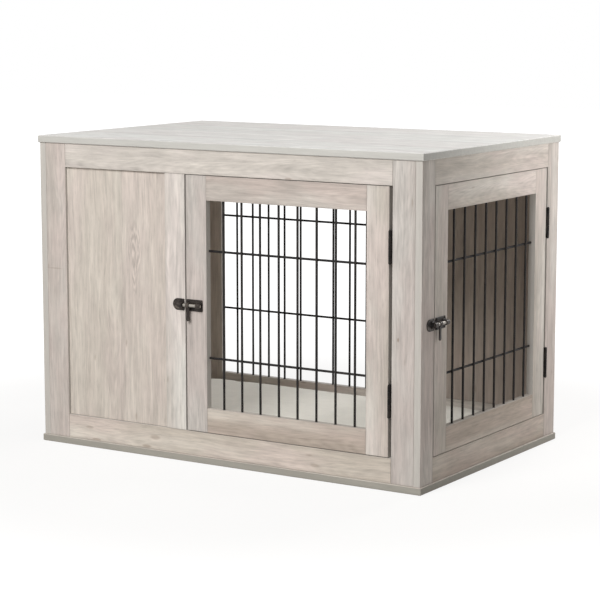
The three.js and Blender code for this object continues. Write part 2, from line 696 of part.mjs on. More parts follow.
// ---- Assembly ----
const table = new THREE.Group();
const [HALF_WIDTH, HALF_DEPTH] = [CASE_WIDTH / 2, CASE_DEPTH / 2];

addTopAndBase(table);
addFasteners(table);

const leftWall = addWall(table, -HALF_WIDTH, HALF_DEPTH, -1);
const leftPanel = board([0, 0, CASE_FOOT + FIT], [CASE_DEPTH, BOARD, CASE_HEAD - FIT], 'y');
addPiece(leftWall, 'left_side_panel', cut(leftPanel, fastenerHolesIn(leftWall)), laminate);

const frontWall = addWall(table, -HALF_WIDTH, -HALF_DEPTH, 0);
addLongWall(frontWall, 'front', 'front_left_stile', 'front_right_stile', []);
const frontDoorLeft = MULLION_RIGHT + RUNNING_GAP;
const frontDoorRight = LONG_RIGHT - HINGE_GAP;
addDoor(frontWall, 'front_door', frontDoorLeft, frontDoorRight, ['latch_stile', 'hinge_stile']);
addHinges(frontWall, 'front_door', frontDoorRight);
addBolt(frontWall, 'front_bolt', frontDoorLeft);

const backWall = addWall(table, HALF_WIDTH, HALF_DEPTH, 2);
addLongWall(backWall, 'back', 'back_right_stile', 'back_left_stile', wireHoles(backGrille()));
addGrille(backWall, 'back_grille', backGrille());

const rightWall = addWall(table, HALF_WIDTH, -HALF_DEPTH, 1);
addSideFrame(rightWall);
const sideDoorLeft = MEMBER + RUNNING_GAP;
const sideDoorRight = CASE_DEPTH - MEMBER - HINGE_GAP;
addDoor(rightWall, 'side_door', sideDoorLeft, sideDoorRight, ['latch_stile', 'hinge_stile']);
addHinges(rightWall, 'side_door', sideDoorRight);
addBolt(rightWall, 'side_bolt', sideDoorLeft);

addPiece(table, 'cushion', cushionGeometry(), fabric);

export default table;
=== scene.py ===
import math
import random
from collections import namedtuple

import bmesh
import bpy
from mathutils import Matrix, Vector
from mathutils.bvhtree import BVHTree

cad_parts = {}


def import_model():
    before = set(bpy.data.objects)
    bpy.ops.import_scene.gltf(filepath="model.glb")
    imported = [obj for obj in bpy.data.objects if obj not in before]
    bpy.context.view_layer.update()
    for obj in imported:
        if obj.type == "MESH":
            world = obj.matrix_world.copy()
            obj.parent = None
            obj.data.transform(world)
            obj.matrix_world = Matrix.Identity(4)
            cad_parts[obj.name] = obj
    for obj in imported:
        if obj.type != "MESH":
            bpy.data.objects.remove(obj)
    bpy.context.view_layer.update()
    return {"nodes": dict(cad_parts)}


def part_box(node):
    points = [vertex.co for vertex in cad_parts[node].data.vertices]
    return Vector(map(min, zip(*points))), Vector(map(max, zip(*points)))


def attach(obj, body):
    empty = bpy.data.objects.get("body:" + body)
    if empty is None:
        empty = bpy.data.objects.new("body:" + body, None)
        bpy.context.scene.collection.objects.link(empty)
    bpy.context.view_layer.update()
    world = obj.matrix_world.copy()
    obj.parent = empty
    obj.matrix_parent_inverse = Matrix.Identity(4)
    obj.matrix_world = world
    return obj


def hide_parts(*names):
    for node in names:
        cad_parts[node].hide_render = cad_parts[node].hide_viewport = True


# Looks of the dog crate end table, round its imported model. Metres, +Z up, the front faces -Y.
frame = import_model()
NODES = frame["nodes"]
MM = 0.001
AXES = "xyz"


# ---- Colours ----
def srgb(red, green, blue):
    """A screen colour, given from 0 to 255, as the linear colour that shaders take."""
    def linear(value):
        share = value / 255
        return share / 12.92 if share <= 0.04045 else ((share + 0.055) / 1.055) ** 2.4

    return (linear(red), linear(green), linear(blue), 1.0)


Tone = namedtuple("Tone", "light dark blush edge")

PLAIN = Tone(srgb(210, 204, 196), srgb(185, 176, 166), srgb(201, 188, 181), srgb(197, 192, 186))
PALE = Tone(srgb(219, 215, 208), srgb(197, 190, 182), srgb(210, 200, 194), srgb(203, 199, 193))
PINK = Tone(srgb(199, 192, 184), srgb(172, 162, 154), srgb(191, 177, 169), srgb(190, 183, 175))
BROWN = Tone(srgb(204, 195, 184), srgb(174, 161, 149), srgb(194, 178, 168), srgb(190, 182, 173))
GREY = Tone(srgb(207, 200, 193), srgb(183, 174, 166), srgb(198, 185, 178), srgb(196, 191, 184))
DIM = Tone(srgb(196, 190, 184), srgb(172, 165, 158), srgb(188, 177, 171), srgb(192, 187, 180))
WARM = Tone(srgb(209, 202, 191), srgb(191, 180, 170), srgb(199, 187, 179), srgb(196, 191, 184))
# The back boards' tone is the print painted darker, as painted shade of the dim inside of the crate.
PAINTED_SHADE_TONE = Tone(srgb(180, 169, 159), srgb(153, 142, 133), srgb(169, 155, 145), srgb(178, 170, 161))
SAND = Tone(srgb(217, 209, 198), srgb(191, 181, 169), srgb(207, 193, 184), srgb(199, 193, 186))
# The top's tone is the print painted paler and greyer, as a painted reflection of the white sky on the top.
TOP_WITH_PAINTED_REFLECTION = Tone(srgb(219, 218, 214), srgb(203, 201, 196), srgb(210, 205, 201), srgb(197, 195, 189))
BASE = Tone(srgb(196, 190, 181), srgb(172, 164, 154), srgb(186, 174, 165), srgb(165, 161, 152))

TONES = {
    "top_panel": TOP_WITH_PAINTED_REFLECTION,
    "base_panel": BASE,
    "front_fixed_panel": WARM,
    "front_mullion": PALE,
    "front_top_rail": PALE,
    "front_bottom_rail": SAND,
    "front_left_stile": GREY,
    "front_right_stile": DIM,
    "front_door_top_rail": PINK,
    "front_door_bottom_rail": BROWN,
    "front_door_latch_stile": DIM,
    "right_bottom_rail": BROWN,
    "side_door_bottom_rail": BROWN,
    "left_side_panel": GREY,
    "back_fixed_panel": PAINTED_SHADE_TONE,
    "back_right_stile": PAINTED_SHADE_TONE,
    "right_front_stile": GREY,
    "right_rear_stile": GREY,
}

# Marks in the print: where they lie along and across the board, how far they reach, and how dark.
Mark = namedtuple("Mark", "along across length width depth")

MARKS = {
    "front_left_stile": [Mark(363, 20, 1.6, 20, 0.35), Mark(366, 2, 6, 2, 0.3)],
    "front_right_stile": [Mark(284, 14, 5, 2.5, 0.7)],
    "front_bottom_rail": [
        Mark(73, 3, 13, 3, 0.5),
        Mark(205, 4, 14, 4, 0.5),
        Mark(55, 27, 12, 4, 0.35),
        Mark(228, 25, 15, 6, 0.4),
        Mark(620, 14, 12, 4, 0.35),
    ],
}

# The flame in the front panel's print: the middle of its rings, along and across the board.
FLAME = {"front_fixed_panel": (366, 182)}


# ---- Materials ----
class Shader:
    """A material or world while it is made: each method adds a node and gives back its output."""

    def __init__(self, name, library=bpy.data.materials):
        self.made = library.new(name)
        self.made.use_nodes = True
        self.tree = self.made.node_tree
        self.tree.nodes.clear()

    def add(self, kind, inputs=None, output=0, **settings):
        node = self.tree.nodes.new(kind)
        for key, value in settings.items():
            setattr(node, key, value)
        for key, value in (inputs or {}).items():
            if isinstance(value, bpy.types.NodeSocket):
                self.tree.links.new(value, node.inputs[key])
            else:
                node.inputs[key].default_value = value
        return node.outputs[output]

    def coordinates(self, kind="Object"):
        """The three parts of a point, or with kind "Normal" of a normal, in the piece's own frame."""
        point = self.add("ShaderNodeTexCoord", output=kind)
        split = self.add("ShaderNodeSeparateXYZ", {0: point}).node
        return list(split.outputs)

    def math(self, operation, *values):
        return self.add("ShaderNodeMath", dict(enumerate(values)), operation=operation)

    def times(self, first, second):
        return self.math("MULTIPLY", first, second)

    def inverse(self, share):
        return self.math("SUBTRACT", 1.0, share)

    def add_up(self, first, *others):
        total = first
        for other in others:
            total = self.math("ADD", total, other)
        return total

    def point(self, x, y, z):
        return self.add("ShaderNodeCombineXYZ", {0: x, 1: y, 2: z})

    def scaled_point(self, values, scales, shift):
        moved = [self.math("MULTIPLY_ADD", v, s, shift) for v, s in zip(values, scales)]
        return self.point(*moved)

    def noise(self, vector, scale=1.0, detail=2.0, roughness=0.5):
        inputs = {"Vector": vector, "Scale": scale, "Detail": detail, "Roughness": roughness}
        return self.add("ShaderNodeTexNoise", inputs)

    def steps(self, value, low, high):
        """0 where value is under low, 1 where it is over high, and smooth between."""
        inputs = {"Value": value, "From Min": low, "From Max": high, "To Min": 0.0, "To Max": 1.0}
        return self.add("ShaderNodeMapRange", inputs, interpolation_type="SMOOTHSTEP")

    def swing(self, value, amount):
        """A noise from 0 to 1 as a change from -amount/2 to amount/2."""
        return self.math("MULTIPLY_ADD", value, amount, -amount / 2)

    def mix(self, share, first, second):
        inputs = {0: share, 6: first, 7: second}
        return self.add("ShaderNodeMix", inputs, output=2, data_type="RGBA")

    def shaded(self, colour, level):
        """colour made lighter or darker by level, which is 1 where it stays as it is."""
        if isinstance(colour, tuple):
            colour = colour[:3]
        return self.add("ShaderNodeVectorMath", {0: colour, 3: level}, operation="SCALE")

    def finish(self, bump_height, bump_strength=0.2, bump_depth=0.3 * MM, **inputs):
        """The surface shader, from linked values that vary and constants set on its own sockets."""
        values = {key.replace("_", " "): value for key, value in inputs.items()}
        bump = {"Strength": bump_strength, "Distance": bump_depth, "Height": bump_height}
        values["Normal"] = self.add("ShaderNodeBump", bump)
        self.add_output(self.add("ShaderNodeBsdfPrincipled", values))
        return self.made

    def add_output(self, surface, kind="ShaderNodeOutputMaterial"):
        output = self.tree.nodes.new(kind)
        self.tree.links.new(surface, output.inputs["Surface"])


def grain_axis(node):
    """The axis that a board's grain follows: rails and the top lie, stiles and panels stand."""
    if "rail" in node:
        return AXES.index("y" if node.startswith(("right", "side")) else "x")
    return AXES.index("x" if node in ("top_panel", "base_panel") else "z")


def thin_axis(node):
    low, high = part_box(node)
    size = high - low
    return min(range(3), key=lambda axis: size[axis])


PLANK_WIDTH = 150 * MM
WIDE_BOARD = 200 * MM
PLANK_SEAM = (1 * MM, 11 * MM)
SWAY = 34 * MM
EDGE_WEAR_AND_SHADE_REACH = 7 * MM


def laminate(node):
    """Whitewashed oak print on one board, with its own cut of the grain and its own tone."""
    tone = TONES.get(node, PLAIN)
    low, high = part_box(node)
    along, thick = grain_axis(node), thin_axis(node)
    across = next(axis for axis in range(3) if axis not in (along, thick))
    length, width = high[along] - low[along], high[across] - low[across]
    chance = random.Random(node)
    seed = chance.uniform(10, 90)

    shader = Shader("laminate_" + node)
    spot = shader.coordinates()
    u, straight, w = [shader.math("SUBTRACT", spot[axis], low[axis]) for axis in (along, across, thick)]
    sway = shader.noise(shader.scaled_point((u, straight, w), (2.6, 5.0, 5.0), seed), detail=3.0)
    v = shader.math("ADD", straight, shader.swing(sway, SWAY))
    wide = width > WIDE_BOARD
    if wide:
        odd, seam, w = planks(shader, straight, w)

    def grain(lengthwise, crosswise, shift, detail=3.0, roughness=0.55):
        place = shader.scaled_point((u, v, w), (lengthwise, crosswise, crosswise), seed + shift)
        return shader.noise(place, detail=detail, roughness=roughness)

    bands = grain(0.6, 13.0, 0.0, detail=1.0)
    cloud = grain(5.0, 22.0, 7.0)
    blush = grain(4.4, 12.0, 13.0)
    streaks = grain(9.0, 150.0, 19.0, detail=4.0, roughness=0.62)
    lines = grain(20.0, 310.0, 21.0)
    mottle = grain(17.0, 62.0, 33.0)
    fibres = grain(22.0, 800.0, 23.0)
    dashes = shader.steps(grain(46.0, 270.0, 27.0, detail=2.0), 0.56, 0.72)
    pores = shader.steps(grain(30.0, 1300.0, 29.0, detail=2.0), 0.60, 0.74)
    rings, ring_share = cathedral(shader, u, v, length, width, chance, seed)

    band_share = shader.times(shader.steps(bands, 0.36, 0.64), 0.45 if wide else 1.0)
    ground = shader.mix(band_share, tone.light, tone.dark)
    ground = shader.mix(shader.times(shader.steps(cloud, 0.35, 0.75), 0.55), ground, tone.dark)
    ground = shader.mix(shader.times(shader.steps(blush, 0.42, 0.66), 0.8), ground, tone.blush)
    changes = [
        shader.swing(streaks, 0.62),
        shader.swing(lines, 0.4),
        shader.swing(mottle, 0.42),
        shader.swing(fibres, 0.14),
        shader.times(dashes, -0.08),
        shader.times(pores, -0.10),
        shader.times(rings, shader.times(ring_share, 0.04)),
    ]
    if wide:
        ground = shader.mix(shader.times(odd, 0.35), ground, tone.blush)
        changes.append(shader.times(seam, -0.09))
    if node in FLAME:
        changes.append(flame(shader, u, straight, *FLAME[node], seed))
    printed = shader.shaded(ground, shader.add_up(1.02, *changes))
    printed = shader.mix(flecks(shader, u, v, seed), printed, MARK_COLOUR)
    for mark in MARKS.get(node, []):
        printed = shader.mix(mark_share(shader, u, straight, mark, streaks), printed, MARK_COLOUR)

    facing = shader.math("ABSOLUTE", shader.coordinates("Normal")[thick])
    band = shader.shaded(tone.edge, shader.add_up(1.0, shader.swing(streaks, 0.3), shader.swing(fibres, 0.1)))
    colour = shader.mix(shader.math("GREATER_THAN", facing, 0.5), band, printed)
    # Eased edges take some of the dark tone: the foil's cut edge, and partly painted shade.
    eased = shader.math("COMPARE", facing, math.sqrt(0.5), 0.15)
    colour = shader.mix(shader.times(eased, 0.15), colour, tone.dark)

    # Within 7 mm of a face's edges the colour is up to a tenth darker, in patches: partly wear, partly
    # painted shade where boards meet.
    gap = edge_distance(shader, spot, low, high, (along, across))
    worn_and_shaded_edges = shader.times(shader.inverse(shader.steps(gap, 0.0, EDGE_WEAR_AND_SHADE_REACH)), cloud)
    colour = shader.shaded(colour, shader.math("MULTIPLY_ADD", worn_and_shaded_edges, -0.1, 1.0))

    relief = [shader.swing(streaks, 0.8), shader.swing(fibres, 0.5), shader.times(pores, -0.8)]
    return shader.finish(
        bump_height=shader.add_up(*relief),
        bump_strength=0.22,
        bump_depth=0.2 * MM,
        Base_Color=colour,
        Roughness=shader.math("MULTIPLY_ADD", streaks, 0.22, 0.52),
        Specular_IOR_Level=0.2,
    )


def planks(shader, straight, w):
    """The printed planks of a wide board: every other plank, their seams and each one's own grain."""
    number = shader.math("FLOOR", shader.math("DIVIDE", straight, PLANK_WIDTH))
    odd = shader.math("MODULO", number, 2.0)
    nearest = shader.math("MAXIMUM", shader.math("ROUND", shader.math("DIVIDE", straight, PLANK_WIDTH)), 1.0)
    offset = shader.math("MULTIPLY_ADD", nearest, -PLANK_WIDTH, straight)
    seam = shader.inverse(shader.steps(shader.math("ABSOLUTE", offset), *PLANK_SEAM))
    return odd, seam, shader.math("MULTIPLY_ADD", number, 3.1, w)


RING_PITCH = 34 * MM
ARCH_SHARPNESS = 4.5 * MM
HEART_BAND = (16 * MM, 55 * MM)


def cathedral(shader, u, v, length, width, chance, seed):
    """Arched growth lines round a heart line, and how strongly they show at each place."""
    heart = chance.uniform(0.2, 0.8) * width
    tip = chance.uniform(0.2, 1.3) * length
    spread = shader.math("SUBTRACT", v, heart)
    arch = shader.math("DIVIDE", shader.times(spread, spread), ARCH_SHARPNESS)
    rise = shader.add_up(arch, shader.times(u, -1.0), tip)
    wobble = shader.noise(shader.scaled_point((u, v, v), (6.0, 30.0, 0.0), seed + 31), detail=3.0)
    even = shader.times(rise, 2 * math.pi / RING_PITCH)
    turns = shader.add_up(even, shader.times(wobble, 16.0))
    rings = shader.math("SINE", turns)
    near = shader.inverse(shader.steps(shader.math("ABSOLUTE", spread), *HEART_BAND))
    patchy = shader.steps(shader.noise(shader.scaled_point((u, v, v), (3.0, 7.0, 0.0), seed + 37)), 0.45, 0.6)
    return rings, shader.times(near, patchy)


FLAME_LENGTH = 95 * MM
FLAME_WIDTH = 19 * MM


def flame(shader, u, straight, along, across, seed):
    """Long pointed rings round a small knot, as a change of lightness."""
    place = shader.scaled_point((u, straight, straight), (12.0, 75.0, 0.0), seed + 43)
    wobble = shader.swing(shader.noise(place, detail=4.0), 1.9)
    up = shader.math("DIVIDE", shader.math("SUBTRACT", u, along * MM), FLAME_LENGTH)
    side = shader.math("DIVIDE", shader.math("SUBTRACT", straight, across * MM), FLAME_WIDTH)
    reach = shader.add_up(shader.math("ABSOLUTE", up), shader.times(side, side), wobble)
    fade = shader.inverse(shader.steps(reach, 0.35, 1.1))
    rings = shader.math("SINE", shader.times(reach, 15.0))
    return shader.times(shader.math("MULTIPLY_ADD", rings, 0.16, -0.045), fade)


MARK_COLOUR = srgb(146, 128, 113)


def flecks(shader, u, v, seed):
    """Short dark marks here and there in the print."""
    place = shader.scaled_point((u, v, v), (26.0, 90.0, 0.0), seed + 41)
    cell = shader.add("ShaderNodeTexVoronoi", {"Vector": place, "Scale": 1.0}).node
    small = shader.inverse(shader.steps(cell.outputs["Distance"], 0.10, 0.30))
    chance = shader.add("ShaderNodeSeparateColor", {0: cell.outputs["Color"]})
    rare = shader.math("GREATER_THAN", chance, 0.965)
    return shader.times(shader.times(small, rare), 0.4)


def mark_share(shader, u, straight, mark, ragged):
    """How much of one mark's colour a point takes."""
    up = shader.math("DIVIDE", shader.math("SUBTRACT", u, mark.along * MM), mark.length * MM)
    side = shader.math("DIVIDE", shader.math("SUBTRACT", straight, mark.across * MM), mark.width * MM)
    squares = [shader.times(part, part) for part in (up, side)]
    squared = shader.add_up(*squares, shader.swing(ragged, 1.2))
    return shader.times(shader.inverse(shader.steps(squared, 0.2, 1.2)), mark.depth)


def edge_distance(shader, spot, low, high, axes):
    """How far a point on a board's face lies from the face's nearest edge."""
    gaps = []
    for axis in axes:
        middle, half = (low[axis] + high[axis]) / 2, (high[axis] - low[axis]) / 2
        offset = shader.math("ABSOLUTE", shader.math("SUBTRACT", spot[axis], middle))
        gaps.append(shader.math("SUBTRACT", half, offset))
    return shader.math("MINIMUM", *gaps)


def black_paint(name, colour, roughness, metallic, wear_and_highlight, gloss):
    """Black coating over metal, lighter along the pieces' sharp edges as wear and a painted highlight, with a
    faint orange peel.
    """
    shader = Shader(name)
    place = shader.point(*shader.coordinates())
    peel = shader.noise(place, scale=900.0, detail=2.0)
    smear = shader.noise(place, scale=70.0, detail=4.0, roughness=0.65)
    pointed = shader.add("ShaderNodeNewGeometry", output="Pointiness")
    # Sharp edges take a lighter brown, by pointiness: worn coat, and partly a painted highlight.
    worn_and_highlit = shader.times(shader.steps(pointed, 0.52, 0.62), shader.steps(smear, 0.35, 0.7))
    tinted = shader.shaded(colour, shader.math("MULTIPLY_ADD", smear, 1.0, 0.5))
    return shader.finish(
        bump_height=shader.add_up(peel, shader.times(smear, 0.6)),
        bump_strength=0.15,
        bump_depth=0.06 * MM,
        Base_Color=shader.mix(shader.times(worn_and_highlit, wear_and_highlight), tinted, srgb(128, 118, 108)),
        Roughness=shader.math("MULTIPLY_ADD", smear, 0.25, roughness - 0.12),
        Metallic=metallic,
        Specular_IOR_Level=gloss,
    )


def bare_steel(name, axis):
    """Zinc-plated steel with fine draw lines along an axis."""
    shader = Shader(name)
    spot = shader.coordinates()
    scales = [160.0 if index == axis else 2600.0 for index in range(3)]
    lines = shader.noise(shader.scaled_point(spot, scales, 3.0), detail=3.0)
    smear = shader.noise(shader.point(*spot), scale=120.0, detail=3.0)
    level = shader.add_up(0.9, shader.swing(lines, 0.3), shader.swing(smear, 0.3))
    return shader.finish(
        bump_height=lines,
        bump_strength=0.2,
        bump_depth=0.03 * MM,
        Base_Color=shader.shaded(srgb(158, 153, 146), level),
        Roughness=shader.math("MULTIPLY_ADD", smear, 0.25, 0.34),
        Metallic=1.0,
    )


def beech(name):
    shader = Shader(name)
    spot = shader.coordinates()
    rays = shader.noise(shader.scaled_point(spot, (1800.0, 1800.0, 120.0), 2.0), detail=3.0)
    return shader.finish(
        bump_height=rays,
        Base_Color=shader.shaded(srgb(205, 172, 130), shader.add_up(1.0, shader.swing(rays, 0.3))),
        Roughness=shader.math("MULTIPLY_ADD", rays, 0.2, 0.6),
    )


THREAD_PITCH = 1.3 * MM


def woven_fabric(name, colour, shadow):
    """A plain weave of slubby threads with soft mottling."""
    shader = Shader(name)
    x, y, z = shader.coordinates()
    place = shader.point(x, y, z)
    slub = shader.noise(place, scale=55.0, detail=4.0, roughness=0.6)
    side = shader.math("ADD", x, z)
    turn = 2 * math.pi / THREAD_PITCH
    warp = shader.math("SINE", shader.math("MULTIPLY_ADD", side, turn, shader.times(slub, 3.0)))
    weft = shader.math("SINE", shader.times(shader.math("ADD", y, z), turn))
    weave = shader.times(warp, weft)
    raised = shader.math("MULTIPLY_ADD", weave, 0.5, 0.5)
    lint = shader.noise(place, scale=1500.0, detail=2.0)
    mottle = shader.noise(place, scale=14.0, detail=4.0, roughness=0.55)
    level = shader.add_up(1.0, shader.swing(mottle, 0.14), shader.swing(slub, 0.1), shader.swing(lint, 0.1))
    threads = shader.mix(shader.times(shader.inverse(raised), 0.35), colour, shadow)
    relief = [raised, shader.times(lint, 0.5), shader.times(slub, 0.6)]
    return shader.finish(
        bump_height=shader.add_up(*relief),
        bump_strength=0.45,
        bump_depth=0.35 * MM,
        Base_Color=shader.shaded(threads, level),
        Roughness=shader.math("MULTIPLY_ADD", lint, 0.12, 0.84),
        Sheen_Weight=0.25,
        Sheen_Roughness=0.5,
    )


WIRE_PAINT = black_paint("wire_paint", srgb(27, 25, 25), 0.6, 0.0, 0.15, gloss=0.2)
HARDWARE_PAINT = black_paint("hardware_paint", srgb(34, 28, 26), 0.45, 0.3, 0.6, gloss=0.3)
HINGE_PAINT = black_paint("hinge_paint", srgb(20, 18, 18), 0.6, 0.0, 0.2, gloss=0.15)
ROD_STEEL = {"front": bare_steel("front_rod_steel", 0), "side": bare_steel("side_rod_steel", 1)}
SCREW_STEEL = bare_steel("base_screw_steel", 2)
DOWEL_WOOD = beech("dowel_beech")
CUSHION_FABRIC = woven_fabric("cushion_weave", srgb(239, 236, 226), srgb(212, 206, 192))


# ---- Mesh building ----
POLE = 0.05 * MM  # least radius of a pin's end or of an outline's corner
TIP = 0.02 * MM  # least radius of a weld bead's end or of a screw's crown
SHEET_EASE = 0.25 * MM

# A wall's own frame, seen from outside: x to the right, y inward from its face, z up.
FRONT = Matrix.Translation((0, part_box("front_mullion")[0].y, 0))
SIDE = Matrix.Translation((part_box("right_front_stile")[1].x, 0, 0)) @ Matrix.Rotation(math.pi / 2, 4, "Z")
WALLS = {"front": FRONT, "side": SIDE}


def wall_box(side, node):
    """A node's lowest and highest corner in its wall's frame."""
    inverse = WALLS[side].inverted()
    corners = [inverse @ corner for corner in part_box(node)]
    low = Vector(map(min, *corners))
    high = Vector(map(max, *corners))
    return low, high


def into_scene(item):
    bpy.context.scene.collection.objects.link(item)


def loft(mesh, rings):
    """Skins rings of points, each a loop of as many points, and caps the first and the last."""
    rows = [[mesh.verts.new(point) for point in ring] for ring in rings]
    for lower, upper in zip(rows, rows[1:]):
        for index in range(len(lower)):
            after = (index + 1) % len(lower)
            mesh.faces.new((lower[index], lower[after], upper[after], upper[index]))
    mesh.faces.new(rows[0][::-1])
    mesh.faces.new(rows[-1])


def lathe(mesh, profile, base, direction, sides=32):
    """Turns (radius, height) points about a line; the ends of the profile are flat caps."""
    turn = Vector((0, 0, 1)).rotation_difference(Vector(direction)).to_matrix()
    rings = []
    for radius, height in profile:
        ring = []
        for index in range(sides):
            angle = 2 * math.pi * index / sides
            point = Vector((radius * math.cos(angle), radius * math.sin(angle), height))
            ring.append(Vector(base) + turn @ point)
        rings.append(ring)
    loft(mesh, rings)


def arc(centre, radius, start, end, steps=8):
    """Points round part of a circle, from one angle to another in degrees."""
    angles = [math.radians(start + (end - start) * step / steps) for step in range(steps + 1)]
    return [(centre[0] + radius * math.cos(a), centre[1] + radius * math.sin(a)) for a in angles]


def rounded_rectangle(left, right, low, high, radii, inset=0.0):
    """An outline with corner radii in the order right-top, left-top, left-low, right-low."""
    left, right, low, high = left + inset, right - inset, low + inset, high - inset
    right_top, left_top, left_low, right_low = [max(radius - inset, POLE) for radius in radii]
    return (
        arc((right - right_top, high - right_top), right_top, 0, 90)
        + arc((left + left_top, high - left_top), left_top, 90, 180)
        + arc((left + left_low, low + left_low), left_low, 180, 270)
        + arc((right - right_low, low + right_low), right_low, 270, 360)
    )


def facing_plate(mesh, outline, back, front):
    """A plate parallel to the wall: outline(inset) gives its x and z, and its front edge is eased."""
    layers = [(0.0, back), (0.0, front + SHEET_EASE), (SHEET_EASE, front)]
    loft(mesh, [[(x, y, z) for x, z in outline(inset)] for inset, y in layers])


def strap(mesh, section, start, end):
    """A closed section of y and z points run along x, with eased ends."""
    middle_y = sum(y for y, _ in section) / len(section)
    middle_z = sum(z for _, z in section) / len(section)
    ease = SHEET_EASE
    shrink = 1 - ease / STRAP_REACH

    def ring(x, share):
        return [(x, middle_y + (y - middle_y) * share, middle_z + (z - middle_z) * share) for y, z in section]

    loft(mesh, [ring(start, shrink), ring(start + ease, 1), ring(end - ease, 1), ring(end, shrink)])


def data_of(build):
    """A new mesh made by build(bmesh), with its normals outside."""
    mesh = bmesh.new()
    build(mesh)
    bmesh.ops.recalc_face_normals(mesh, faces=mesh.faces)
    data = bpy.data.meshes.new("part")
    mesh.to_mesh(data)
    mesh.free()
    return data


def combined(first, second, operation):
    """The union or difference of two closed meshes."""
    base = bpy.data.objects.new("base", first)
    tool = bpy.data.objects.new("tool", second)
    for item in (base, tool):
        into_scene(item)
    modifier = base.modifiers.new("combine", "BOOLEAN")
    modifier.operation = operation
    modifier.solver = "EXACT"
    modifier.object = tool
    bpy.context.view_layer.update()
    evaluated = base.evaluated_get(bpy.context.evaluated_depsgraph_get())
    result = bpy.data.meshes.new_from_object(evaluated)
    for item in (base, tool):
        bpy.data.objects.remove(item)
    return result


def placed(data, matrix):
    """A copy of a mesh, moved."""
    copy = data.copy()
    copy.transform(matrix)
    return copy


def joined(parts):
    """Several meshes as one, each still a closed shell of its own."""
    whole = bmesh.new()
    for part in parts:
        whole.from_mesh(part)
    data = bpy.data.meshes.new("whole")
    whole.to_mesh(data)
    whole.free()
    return data


SHARP_ANGLE = math.radians(32)


def piece(name, data, material, body, nodes):
    """A finished piece of the object: it shows instead of its CAD nodes and moves with their body."""
    data.materials.clear()
    data.materials.append(material)
    data.shade_smooth()
    data.set_sharp_from_angle(angle=SHARP_ANGLE)
    made = bpy.data.objects.new(name, data)
    into_scene(made)
    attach(made, body)
    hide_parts(*nodes)
    return made


# ---- Grilles ----
WIRE_RADIUS = 2.4 * MM
WIRE_EASE = 0.5 * MM
BEAD_RADIUS = 2.8 * MM
BEAD_HEIGHT = 1.6 * MM
CROSS_BAR_SPREAD = 220 * MM
WELD_SINK = 1.0 * MM
FIT = 0.25 * MM

# How many bars, the share of their pitch left at each end of the opening, and how far they drift.
DOOR_BARS = (8, 0.75, 4 * MM)
BACK_BARS = (10, 1.0, -2.5 * MM)


def wire(mesh, start, end):
    length = (Vector(end) - Vector(start)).length
    radius, ease = WIRE_RADIUS, WIRE_EASE
    profile = [(radius - ease, 0), (radius, ease), (radius, length - ease), (radius - ease, length)]
    lathe(mesh, profile, start, Vector(end) - Vector(start), sides=24)


def weld_bead(mesh, place, direction):
    """A flattened drop of weld metal where two wires cross."""
    profile = []
    for step in range(9):
        angle = math.pi * step / 8
        profile.append((max(BEAD_RADIUS * math.sin(angle), TIP), -BEAD_HEIGHT * math.cos(angle)))
    lathe(mesh, profile, place, direction, sides=20)


def spaced(left, right, count, end_share, drift):
    """Places of bars in an opening, all of them moved along by drift."""
    pitch = (right - left) / (count - 1 + 2 * end_share)
    return [left + drift + pitch * (end_share + index) for index in range(count)]


def grille(node, body, side_axis, bars, opening, wire_depth, inward):
    """Upright wires and two cross wires behind them. side_axis is the world axis across the wall."""
    low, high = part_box(node)
    depth_axis = 1 - side_axis
    middle = (low.z + high.z) / 2

    def at(across, depth, z):
        point = Vector((0, 0, z))
        point[side_axis], point[depth_axis] = across, depth
        return point

    cross_depth = wire_depth + inward * (2 * WIRE_RADIUS - WELD_SINK)
    levels = [middle - CROSS_BAR_SPREAD / 2, middle + CROSS_BAR_SPREAD / 2]
    places = spaced(*opening, *bars)

    def uprights(mesh):
        for across in places:
            wire(mesh, at(across, wire_depth, low.z), at(across, wire_depth, high.z))

    def cross_wires(mesh):
        for z in levels:
            wire(mesh, at(low[side_axis], cross_depth, z), at(high[side_axis], cross_depth, z))

    def beads(mesh):
        between = (wire_depth + cross_depth) / 2
        direction = at(0, inward, 0)
        for across in places:
            for z in levels:
                weld_bead(mesh, at(across, between, z), direction)

    data = combined(data_of(uprights), data_of(cross_wires), "UNION")
    data = combined(data, data_of(beads), "UNION")
    return piece(node + "_wires", data, WIRE_PAINT, body, [node])


def opening_between(first, second, axis):
    """From the inner edge of one upright to the inner edge of the other."""
    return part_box(first)[1][axis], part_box(second)[0][axis]


def make_grilles():
    for side, axis, inward in (("front", 0, 1), ("side", 1, -1)):
        latch, hinge = f"{side}_door_latch_stile", f"{side}_door_hinge_stile"
        low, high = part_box(latch)
        depth = (low[1 - axis] + high[1 - axis]) / 2
        opening = opening_between(latch, hinge, axis)
        grille(f"{side}_door_grille", f"{side}_door", axis, DOOR_BARS, opening, depth, inward)
    start, end = opening_between("back_left_stile", "back_mullion", 0)
    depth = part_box("back_grille")[0].y + WIRE_RADIUS
    grille("back_grille", "case", 0, BACK_BARS, (start + FIT, end - FIT), depth, 1)


# ---- Screws ----
SCREW_SINK = 0.4 * MM


def screw(radius, height):
    """A pan-head screw with a cross recess: its head lies on y = 0 and rises towards -y."""
    def head(mesh):
        profile = [(radius * 0.98, -SCREW_SINK), (radius, 0.0)]
        for step in range(1, 7):
            angle = math.pi / 2 * step / 6
            crown = max(radius * math.cos(angle) ** 0.7, TIP)
            profile.append((crown, height * (0.35 + 0.65 * math.sin(angle))))
        lathe(mesh, profile, (0, 0, 0), (0, -1, 0), sides=28)

    data = data_of(head)
    for part in (0, 1):
        arm = data_of(lambda mesh, part=part: cross_arm(mesh, radius, height, part))
        data = combined(data, arm, "DIFFERENCE")
    return data


